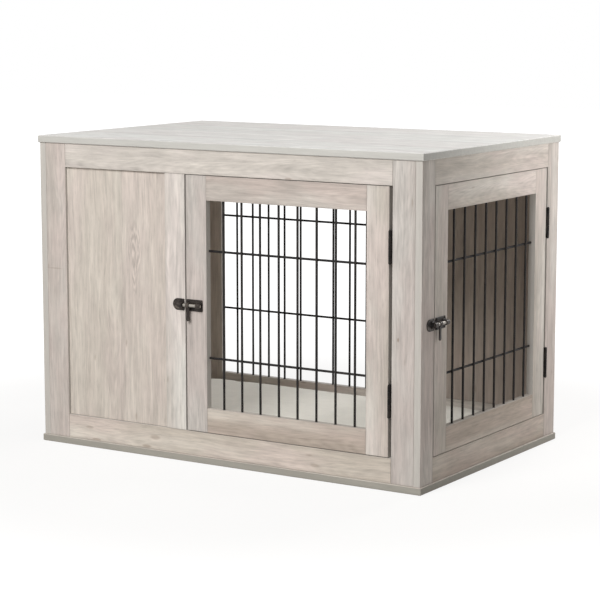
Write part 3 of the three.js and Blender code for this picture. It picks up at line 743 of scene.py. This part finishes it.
def cross_arm(mesh, radius, height, part):
    """One arm of a screw's cross recess, narrower at its foot."""
    long, thin = radius * 0.62, radius * 0.14
    rings = []
    for share, y in ((0.5, -height * 0.4), (1.1, -height * 1.3)):
        x, z = (long * share, thin) if part == 0 else (thin, long * share)
        rings.append([(-x, y, -z), (x, y, -z), (x, y, z), (-x, y, z)])
    loft(mesh, rings)


# ---- Barrel bolts ----
PLATE_FRONT = -1.75 * MM
PLATE_BACK = -0.25 * MM
STRAP_WALL = 1.6 * MM
STRAP_CLEARANCE = 0.3 * MM
STRAP_REACH = 4 * MM
STRAP_SHEET = 1.1 * MM
STRAP_TOE = 2.4 * MM
STRAP_BEND = 0.5 * MM
STRAP_SEAT = 0.02 * MM
PLATE_CORNER = 2.5 * MM
GUIDE_MARGIN = 0.8 * MM
GUIDE_LENGTH = 11 * MM
LOOP_LENGTH = 12 * MM
ROD_EASE = 0.8 * MM
NOSE_FLAT = 0.4
NOSE_RISE = 0.25 * MM
NOSE_SLOPE = 0.3 * MM
COLLAR_EASE = 0.5 * MM
TONGUE_THICKNESS = 2.6 * MM
TONGUE_EASE = 0.4 * MM
TONGUE_WAIST = 0.72
WAIST_RISE = 10 * MM
LEVER_CLEARANCE = 0.15 * MM
BORE_REACH = 1 * MM
SCREW_INSET = 4.5 * MM
SCREW_ROW = 8.75 * MM
SCREW_RADIUS = 2.6 * MM
SCREW_HEIGHT = 1.3 * MM
PLATE_SCREW = screw(SCREW_RADIUS, SCREW_HEIGHT)


def strap_section(axis_y, axis_z, rod_radius):
    """A sheet bent over the rod, with a foot on each side that lies on the plate."""
    inner = rod_radius + STRAP_CLEARANCE
    outer = inner + STRAP_WALL
    foot = PLATE_FRONT + STRAP_SEAT
    face, bend = foot - STRAP_SHEET, STRAP_BEND
    toe = outer + STRAP_TOE
    outside = [(foot, axis_z - toe), (face, axis_z - toe), (face, axis_z - outer - bend)]
    outside.append((face - bend, axis_z - outer))
    outside += [(axis_y + y, axis_z + z) for y, z in arc((0, 0), outer, -90, -270, steps=20)]
    outside.append((face - bend, axis_z + outer))
    outside += [(face, axis_z + outer + bend), (face, axis_z + toe), (foot, axis_z + toe)]
    inside = [(foot, axis_z + inner)]
    inside += [(axis_y + y, axis_z + z) for y, z in arc((0, 0), inner, -270, -90, steps=20)]
    inside.append((foot, axis_z - inner))
    return outside + inside


def bolt(side, door_body, rod_body, lever_body):
    """The plate with its guide, the keeper, the rod and the lever of one barrel bolt."""
    wall = WALLS[side]
    name = side + "_bolt"
    rod_low, rod_high = wall_box(side, name + "_rod")
    rod_radius = (rod_high.z - rod_low.z) / 2
    axis_y, axis_z = (rod_low.y + rod_high.y) / 2, (rod_low.z + rod_high.z) / 2
    section = strap_section(axis_y, axis_z, rod_radius)

    def at(x, z):
        return wall @ Matrix.Translation((x, PLATE_FRONT, z))

    # Door plate with its guide
    low, high = wall_box(side, name + "_plate")
    guide_end = high.x - GUIDE_MARGIN
    guide_start = guide_end - GUIDE_LENGTH

    def plate(mesh):
        def outline(inset):
            return rounded_rectangle(low.x, high.x, low.z, high.z, [PLATE_CORNER] * 4, inset)
        facing_plate(mesh, outline, PLATE_BACK, PLATE_FRONT)

    def guide(mesh):
        strap(mesh, section, guide_start, guide_end)

    parts = [placed(data_of(build), wall) for build in (plate, guide)]
    for x in (low.x + SCREW_INSET, high.x - SCREW_INSET):
        for z in (axis_z - SCREW_ROW, axis_z + SCREW_ROW):
            parts.append(placed(PLATE_SCREW, at(x, z)))
    piece(name + "_plate_stamped", joined(parts), HARDWARE_PAINT, door_body, [name + "_plate"])

    # Keeper
    low, high = wall_box(side, name + "_keeper")
    round_end = (high.z - low.z) / 2

    def keeper_plate(mesh):
        def outline(inset):
            radii = [PLATE_CORNER, round_end, round_end, PLATE_CORNER]
            return rounded_rectangle(low.x, high.x, low.z, high.z, radii, inset)
        facing_plate(mesh, outline, PLATE_BACK, PLATE_FRONT)

    def loop(mesh):
        strap(mesh, section, high.x - LOOP_LENGTH, high.x)

    screw_x = (low.x + high.x - LOOP_LENGTH) / 2
    parts = [placed(data_of(build), wall) for build in (keeper_plate, loop)]
    parts.append(placed(PLATE_SCREW, at(screw_x, axis_z)))
    piece(name + "_keeper_stamped", joined(parts), HARDWARE_PAINT, "case", [name + "_keeper"])

    # Rod
    def shaft(mesh):
        length = rod_high.x - rod_low.x
        shoulder = rod_radius - ROD_EASE
        nose = [(rod_radius * NOSE_FLAT, 0), (shoulder, NOSE_RISE), (rod_radius, ROD_EASE + NOSE_SLOPE)]
        tail = [(rod_radius, length - ROD_EASE), (shoulder, length)]
        lathe(mesh, nose + tail, (rod_low.x, axis_y, axis_z), (1, 0, 0), sides=40)

    data = placed(data_of(shaft), wall)
    piece(name + "_rod_turned", data, ROD_STEEL[side], rod_body, [name + "_rod"])

    # Lever: a collar round the rod and a flat tongue that hangs from it
    low, high = wall_box(side, name + "_lever")
    collar_radius = high.z - axis_z
    middle, half = (low.x + high.x) / 2, (high.x - low.x) / 2

    def collar(mesh):
        width = high.x - low.x
        profile = [(collar_radius - COLLAR_EASE, 0), (collar_radius, COLLAR_EASE)]
        profile += [(collar_radius, width - COLLAR_EASE), (collar_radius - COLLAR_EASE, width)]
        lathe(mesh, profile, (low.x, axis_y, axis_z), (1, 0, 0), sides=40)

    def tongue(mesh):
        ease = TONGUE_EASE
        back, front = axis_y + TONGUE_THICKNESS / 2, axis_y - TONGUE_THICKNESS / 2
        layers = [(ease, back), (0, back - ease), (0, front + ease), (ease, front)]

        def outline(inset):
            reach = half - inset
            waist = TONGUE_WAIST * reach
            foot_z = low.z + half
            foot = arc((middle, foot_z), reach, 180, 360, steps=16)
            waist_z, neck_z = foot_z + WAIST_RISE, axis_z - collar_radius
            right = [(middle + waist, waist_z), (middle + reach, neck_z), (middle + reach, axis_z)]
            left = [(middle - reach, axis_z), (middle - reach, neck_z), (middle - waist, waist_z)]
            return foot + right + left

        loft(mesh, [[(x, y, z) for x, z in outline(inset)] for inset, y in layers])

    def bore(mesh):
        radius = rod_radius + LEVER_CLEARANCE
        profile = [(radius, -BORE_REACH), (radius, high.x - low.x + BORE_REACH)]
        lathe(mesh, profile, (low.x, axis_y, axis_z), (1, 0, 0), sides=40)

    data = combined(data_of(collar), data_of(tongue), "UNION")
    data = combined(data, data_of(bore), "DIFFERENCE")
    piece(name + "_lever_cast", placed(data, wall), HARDWARE_PAINT, lever_body, [name + "_lever"])


# ---- Hinges ----
KNUCKLES = 5
KNUCKLE_RADIUS = 3.0 * MM
KNUCKLE_GAP = 0.3 * MM
PIN_RADIUS = 1.4 * MM
PIN_CLEARANCE = 0.2 * MM
LEAF_THICKNESS = 2.0 * MM
LEAF_CORNER = 2.5 * MM
KNUCKLE_EASE = 0.35 * MM
TAB_INSET = 0.1 * MM
TAB_ROOT = 1 * MM
LEAF_SCREW_PLACES = (0.16, 0.5, 0.84)
LEAF_SCREW_OFFSET = 0.8 * MM
PIN_HEAD = 1.2 * MM
LEAF_SCREW_RADIUS = 1.9 * MM
LEAF_SCREW_HEIGHT = 0.5 * MM
LEAF_SCREW = screw(LEAF_SCREW_RADIUS, LEAF_SCREW_HEIGHT)


def leaf(side, node, body, on_stile, axis_x):
    """One leaf of a butt hinge: plate in the gap, knuckles round the pin and three screws."""
    wall = WALLS[side]
    low, high = wall_box(side, node)
    outer = high.x if on_stile else low.x
    inner = outer - LEAF_THICKNESS if on_stile else outer + LEAF_THICKNESS
    left, right = sorted((outer, inner))
    plate_front = KNUCKLE_GAP
    frame_low, frame_high = wall_box(side, node.replace("door_leaf", "frame_leaf"))
    foot, head = frame_low.z, frame_high.z

    def plate(mesh):
        outline = rounded_rectangle(plate_front, high.y, foot, head, [LEAF_CORNER, 0, 0, LEAF_CORNER])
        loft(mesh, [[(x, y, z) for y, z in outline] for x in (left, right)])

    pitch = (head - foot) / KNUCKLES
    mine = [index for index in range(KNUCKLES) if (index % 2 == 0) == on_stile]

    def knuckles(mesh):
        for index in mine:
            start = foot + pitch * index + KNUCKLE_GAP / 2
            end = foot + pitch * (index + 1) - KNUCKLE_GAP / 2
            ease = KNUCKLE_EASE
            profile = [(KNUCKLE_RADIUS - ease, 0), (KNUCKLE_RADIUS, ease)]
            profile += [(KNUCKLE_RADIUS, end - start - ease), (KNUCKLE_RADIUS - ease, end - start)]
            lathe(mesh, profile, (axis_x, -KNUCKLE_RADIUS, start), (0, 0, 1))

    def tabs(mesh):
        for index in mine:
            start = foot + pitch * index + KNUCKLE_GAP / 2 + TAB_INSET
            end = foot + pitch * (index + 1) - KNUCKLE_GAP / 2 - TAB_INSET
            root = plate_front + TAB_ROOT
            edge = [(left, -KNUCKLE_RADIUS), (right, -KNUCKLE_RADIUS), (right, root), (left, root)]
            loft(mesh, [[(x, y, z) for x, y in edge] for z in (start, end)])

    def bore(mesh):
        radius = PIN_RADIUS + PIN_CLEARANCE
        profile = [(radius, -BORE_REACH), (radius, head - foot + BORE_REACH)]
        lathe(mesh, profile, (axis_x, -KNUCKLE_RADIUS, foot), (0, 0, 1))

    data = combined(data_of(plate), data_of(tabs), "UNION")
    data = combined(data, data_of(knuckles), "UNION")
    data = combined(data, data_of(bore), "DIFFERENCE")
    parts = [placed(data, wall)]
    towards = -90 if on_stile else 90
    turn = Matrix.Rotation(math.radians(towards), 4, "Z")
    for share in LEAF_SCREW_PLACES:
        z = foot + (head - foot) * share
        spot = Matrix.Translation((inner, (plate_front + high.y) / 2 + LEAF_SCREW_OFFSET, z))
        parts.append(placed(LEAF_SCREW, wall @ spot @ turn))
    piece(node + "_folded", joined(parts), HINGE_PAINT, body, [node])


def hinge_pin(side, node, axis_x):
    wall = WALLS[side]
    low, high = wall_box(side, node)
    rim = (high.x - low.x) / 2

    def pin(mesh):
        profile = []
        for step in range(6):
            angle = math.pi / 2 * step / 5
            profile.append((max(rim * math.sin(angle), POLE), low.z + PIN_HEAD * (1 - math.cos(angle))))
        profile += [(PIN_RADIUS, low.z + PIN_HEAD), (PIN_RADIUS, high.z - PIN_HEAD)]
        for step in range(6):
            angle = math.pi / 2 * step / 5
            profile.append((max(rim * math.cos(angle), POLE), high.z - PIN_HEAD * (1 - math.sin(angle))))
        lathe(mesh, profile, (axis_x, -KNUCKLE_RADIUS, 0), (0, 0, 1))

    piece(node + "_turned", placed(data_of(pin), wall), HINGE_PAINT, "case", [node])


def hinges(side, door_body):
    for level in ("upper", "lower"):
        name = f"{side}_door_{level}_hinge"
        low, high = wall_box(side, name + "_pin")
        axis_x = (low.x + high.x) / 2
        leaf(side, name + "_frame_leaf", "case", True, axis_x)
        leaf(side, name + "_door_leaf", door_body, False, axis_x)
        hinge_pin(side, name + "_pin", axis_x)


# ---- Cushion ----
VOXEL = 6 * MM
SWELL = 12 * MM
SWELL_SIDE = 0.35
SWELL_FOOT = 0.3
PAD_INSET = 3 * MM
PAD_RINGS = 10
CLOTH_FRAMES = 20
CLOTH_PRESSURE = 4.0
SEAM_SEARCH = 20 * MM
SEAM_HEIGHT = 20 * MM
PIPING_RADIUS = 2.0 * MM
PAD_CORNER = 26 * MM
DRAW_IN = 7 * MM
TUCK = 13 * MM
CROWN = 12 * MM
PINCH_DEPTH = 3 * MM
PINCH_REACH = 6 * MM
SIDE_STEPS = 24


def pad_outline(half_width, half_depth, corner):
    """A rounded rectangle whose sides are drawn in between its corners."""
    points = []
    signs = [(1, 1), (-1, 1), (-1, -1), (1, -1)]
    for index, (sign_x, sign_y) in enumerate(signs):
        centre = (sign_x * (half_width - corner), sign_y * (half_depth - corner))
        points += arc(centre, corner, 90 * index, 90 * (index + 1), steps=10)
        after = signs[(index + 1) % 4]
        start = points[-1]
        level = after[0] != sign_x
        end = (-start[0], start[1]) if level else (start[0], -start[1])
        for step in range(1, SIDE_STEPS):
            share = step / SIDE_STEPS
            pull = DRAW_IN * math.sin(math.pi * share) ** 2
            x = start[0] + (end[0] - start[0]) * share
            y = start[1] + (end[1] - start[1]) * share
            points.append((x, y - math.copysign(pull, y)) if level else (x - math.copysign(pull, x), y))
    return points


def cushion():
    low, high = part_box("cushion")
    half_width, half_depth = (high.x - low.x) / 2, (high.y - low.y) / 2
    height = high.z - low.z
    swell = SWELL
    inset = PAD_INSET + swell * SWELL_SIDE
    foot = swell * SWELL_FOOT

    def pad(mesh):
        rings = []
        for step in range(PAD_RINGS + 1):
            angle = math.pi * step / PAD_RINGS
            tuck = TUCK * (1 - math.sin(angle) ** 0.8) + inset
            z = low.z + foot + (height - CROWN - foot) * (1 - math.cos(angle)) / 2
            outline = pad_outline(half_width - tuck, half_depth - tuck, PAD_CORNER)
            rings.append([(x, y, z) for x, y in outline])
        loft(mesh, rings)

    data = data_of(pad)
    made = bpy.data.objects.new("cushion_pad", data)
    into_scene(made)
    remesh = made.modifiers.new("remesh", "REMESH")
    remesh.mode = "VOXEL"
    remesh.voxel_size = VOXEL
    bake_modifiers(made)
    inflate(made)
    settle(made, low, high, half_width, half_depth)
    seam = seam_path(made, half_width, half_depth, low.z + SEAM_HEIGHT)
    smooth = made.modifiers.new("fine", "SUBSURF")
    smooth.levels = smooth.render_levels = 1
    bake_modifiers(made)
    made.data.materials.append(CUSHION_FABRIC)
    made.data.shade_smooth()
    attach(made, "case")
    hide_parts("cushion")

    data = data_of(lambda mesh: closed_tube(mesh, seam, PIPING_RADIUS))
    piping = bpy.data.objects.new("cushion_piping", data)
    into_scene(piping)
    piping.data.materials.append(CUSHION_FABRIC)
    piping.data.shade_smooth()
    piping.parent = made


def bake_modifiers(item):
    """Gives an object the mesh that its modifiers make, and removes them."""
    bpy.context.view_layer.update()
    evaluated = item.evaluated_get(bpy.context.evaluated_depsgraph_get())
    data = bpy.data.meshes.new_from_object(evaluated)
    item.modifiers.clear()
    item.data = data


def inflate(item):
    """Swells the pad as filled cloth, with each point's way capped."""
    rest = [vertex.co.copy() for vertex in item.data.vertices]
    modifier = item.modifiers.new("cloth", "CLOTH")
    settings = modifier.settings
    settings.quality = 5
    settings.use_pressure = True
    settings.uniform_pressure_force = CLOTH_PRESSURE
    settings.effector_weights.gravity = 0.0
    scene = bpy.context.scene
    for step in range(1, CLOTH_FRAMES + 1):
        scene.frame_set(step)
    evaluated = item.evaluated_get(bpy.context.evaluated_depsgraph_get())
    moved = [vertex.co.copy() for vertex in evaluated.data.vertices]
    item.modifiers.remove(modifier)
    for vertex, start, end in zip(item.data.vertices, rest, moved):
        way = end - start
        if way.length > SWELL:
            way *= SWELL / way.length
        vertex.co = start + way
    scene.frame_set(1)


def settle(item, low, high, half_width, half_depth):
    """Crowns the pad's top, lays its underside flat and pinches it along the seam."""
    seam = low.z + SEAM_HEIGHT
    top = max(vertex.co.z for vertex in item.data.vertices)
    for vertex in item.data.vertices:
        x, y, z = vertex.co
        share_x, share_y = x / half_width, y / half_depth
        crown = max(0.0, (1 - share_x ** 4) * (1 - share_y ** 4))
        lift = max(0.0, (z - seam) / (top - seam))
        z += lift * (crown * CROWN - (top - high.z) - CROWN)
        z = max(z, low.z)
        near = math.exp(-(((z - seam) / PINCH_REACH) ** 2))
        rim = max(abs(share_x), abs(share_y)) ** 12
        pull = 1 - PINCH_DEPTH * near * rim / half_depth
        vertex.co = (x * pull, y * pull, min(z, high.z))


def seam_path(item, half_width, half_depth, height):
    """The line round the pad at the seam's height, found on its surface."""
    tree = BVHTree.FromPolygons([v.co for v in item.data.vertices], [p.vertices for p in item.data.polygons])
    away = SEAM_SEARCH
    guide = pad_outline(half_width + away, half_depth + away, PAD_CORNER + away)
    hits = []
    for index, (x, y) in enumerate(guide):
        before, after = Vector(guide[index - 1]), Vector(guide[(index + 1) % len(guide)])
        tangent = (after - before).normalized()
        inward = Vector((-tangent.y, tangent.x, 0))
        spot = tree.ray_cast(Vector((x, y, height)), inward, 0.1)[0]
        if spot is not None:
            hits.append(spot)
    count = len(hits)
    return [(hits[i - 1] + hits[i] * 2 + hits[(i + 1) % count]) / 4 for i in range(count)]


def closed_tube(mesh, path, radius):
    """A round tube along a closed, nearly level path."""
    sides = 12
    rows = []
    count = len(path)
    for index, point in enumerate(path):
        tangent = (path[(index + 1) % count] - path[index - 1]).normalized()
        out = Vector((tangent.y, -tangent.x, 0)).normalized()
        ring = []
        for side in range(sides):
            angle = 2 * math.pi * side / sides
            rise = Vector((0, 0, radius * math.sin(angle)))
            ring.append(mesh.verts.new(point + out * radius * math.cos(angle) + rise))
        rows.append(ring)
    for index in range(count):
        here, there = rows[index], rows[(index + 1) % count]
        for side in range(sides):
            after = (side + 1) % sides
            mesh.faces.new((here[side], here[after], there[after], there[side]))


# ---- Stage, light and camera ----
CAMERA_PLACE = Vector((2.3043, -3.6403, 0.9545))
CAMERA_YAW = 0.56418
CAMERA_PITCH = math.radians(8.561)
SENSOR = 36.0
IMAGE_SIZE = 600
FOCAL_PIXELS = 2028.6


def camera():
    data = bpy.data.cameras.new("camera")
    data.sensor_width = SENSOR
    data.lens = FOCAL_PIXELS / IMAGE_SIZE * SENSOR
    data.clip_end = 60
    made = bpy.data.objects.new("camera", data)
    made.location = CAMERA_PLACE
    made.rotation_euler = (math.pi / 2 - CAMERA_PITCH, 0, CAMERA_YAW)
    into_scene(made)
    bpy.context.scene.camera = made


def seen_directly(shader):
    """1 for rays from the camera, also by way of gloss or glass, and 0 for light on the object."""
    path = shader.add("ShaderNodeLightPath").node
    rays = [path.outputs[f"Is {kind} Ray"] for kind in ("Camera", "Glossy", "Transmission")]
    return shader.math("MAXIMUM", shader.math("MAXIMUM", rays[0], rays[1]), rays[2])


FLOOR_REACH = 12.0
FLOOR_LEVEL = -0.3 * MM
FLOOR_COLOUR = (0.53, 0.51, 0.48, 1)
FLOOR_WHITE = 1.18
SHADOW_FADE = (0.75, 1.6)


def floor():
    """A pale floor that is white to the camera but for the object's soft shadow."""
    data = bpy.data.meshes.new("floor")
    reach = FLOOR_REACH
    corners = [(-reach, -reach), (reach, -reach), (reach, reach), (-reach, reach)]
    data.from_pydata([(x, y, FLOOR_LEVEL) for x, y in corners], [], [(0, 1, 2, 3)])
    made = bpy.data.objects.new("floor", data)
    into_scene(made)
    shader = Shader("floor")
    x, y, _ = shader.coordinates()
    squares = [shader.times(part, part) for part in (x, y)]
    distance = shader.math("SQRT", shader.add_up(*squares))
    far = shader.steps(distance, *SHADOW_FADE)
    lit = shader.add("ShaderNodeBsdfDiffuse", {"Color": FLOOR_COLOUR})
    white = shader.add("ShaderNodeEmission", {"Color": (1, 1, 1, 1), "Strength": FLOOR_WHITE})
    glow = shader.times(seen_directly(shader), shader.math("MULTIPLY_ADD", far, 0.3, 0.7))
    shader.add_output(shader.add("ShaderNodeMixShader", {0: glow, 1: lit, 2: white}))
    data.materials.append(shader.made)


WORLD_LIGHT = 0.22


def world():
    shader = Shader("studio", bpy.data.worlds)
    bpy.context.scene.world = shader.made
    light = shader.add("ShaderNodeBackground", {"Color": (0.97, 0.98, 1, 1), "Strength": WORLD_LIGHT})
    white = shader.add("ShaderNodeBackground", {"Color": (1, 1, 1, 1), "Strength": 1.0})
    surface = shader.add("ShaderNodeMixShader", {0: seen_directly(shader), 1: light, 2: white})
    shader.add_output(surface, "ShaderNodeOutputWorld")


def soft_light(name, place, target, size, watts):
    data = bpy.data.lights.new(name, "AREA")
    data.shape = "DISK"
    data.size = size
    data.energy = watts
    made = bpy.data.objects.new(name, data)
    made.visible_camera = False
    made.location = place
    made.rotation_euler = (Vector(target) - Vector(place)).to_track_quat("-Z", "Y").to_euler()
    into_scene(made)


MIDDLE = (0, 0, 0.33)


def lights():
    soft_light("key", (0.1, -3.3, 2.8), MIDDLE, 2.2, 145)
    soft_light("side", (1.2, 0.16, 0.74), (0.46, 1.0, 0.8), 0.6, 6.0)
    soft_light("back", (0.4, 2.4, 1.65), (0.0, 0.0, 0.2), 1.6, 46)


# ---- Making everything ----
def dress_boards():
    """Puts their own looks on the CAD solids that show as they are."""
    for name, node in NODES.items():
        if name.startswith("base_screw"):
            finish = SCREW_STEEL
        elif name.startswith("top_dowel"):
            finish = DOWEL_WOOD
        elif name.endswith(("panel", "stile", "rail", "mullion")):
            finish = laminate(name)
        else:
            continue
        node.data.materials.clear()
        node.data.materials.append(finish)


camera()
floor()
world()
lights()
dress_boards()
make_grilles()
for side in WALLS:
    bolt(side, f"{side}_door", f"{side}_bolt", f"{side}_lever")
for side in WALLS:
    hinges(side, f"{side}_door")
cushion()

bpy.context.scene.view_settings.view_transform = "Standard"
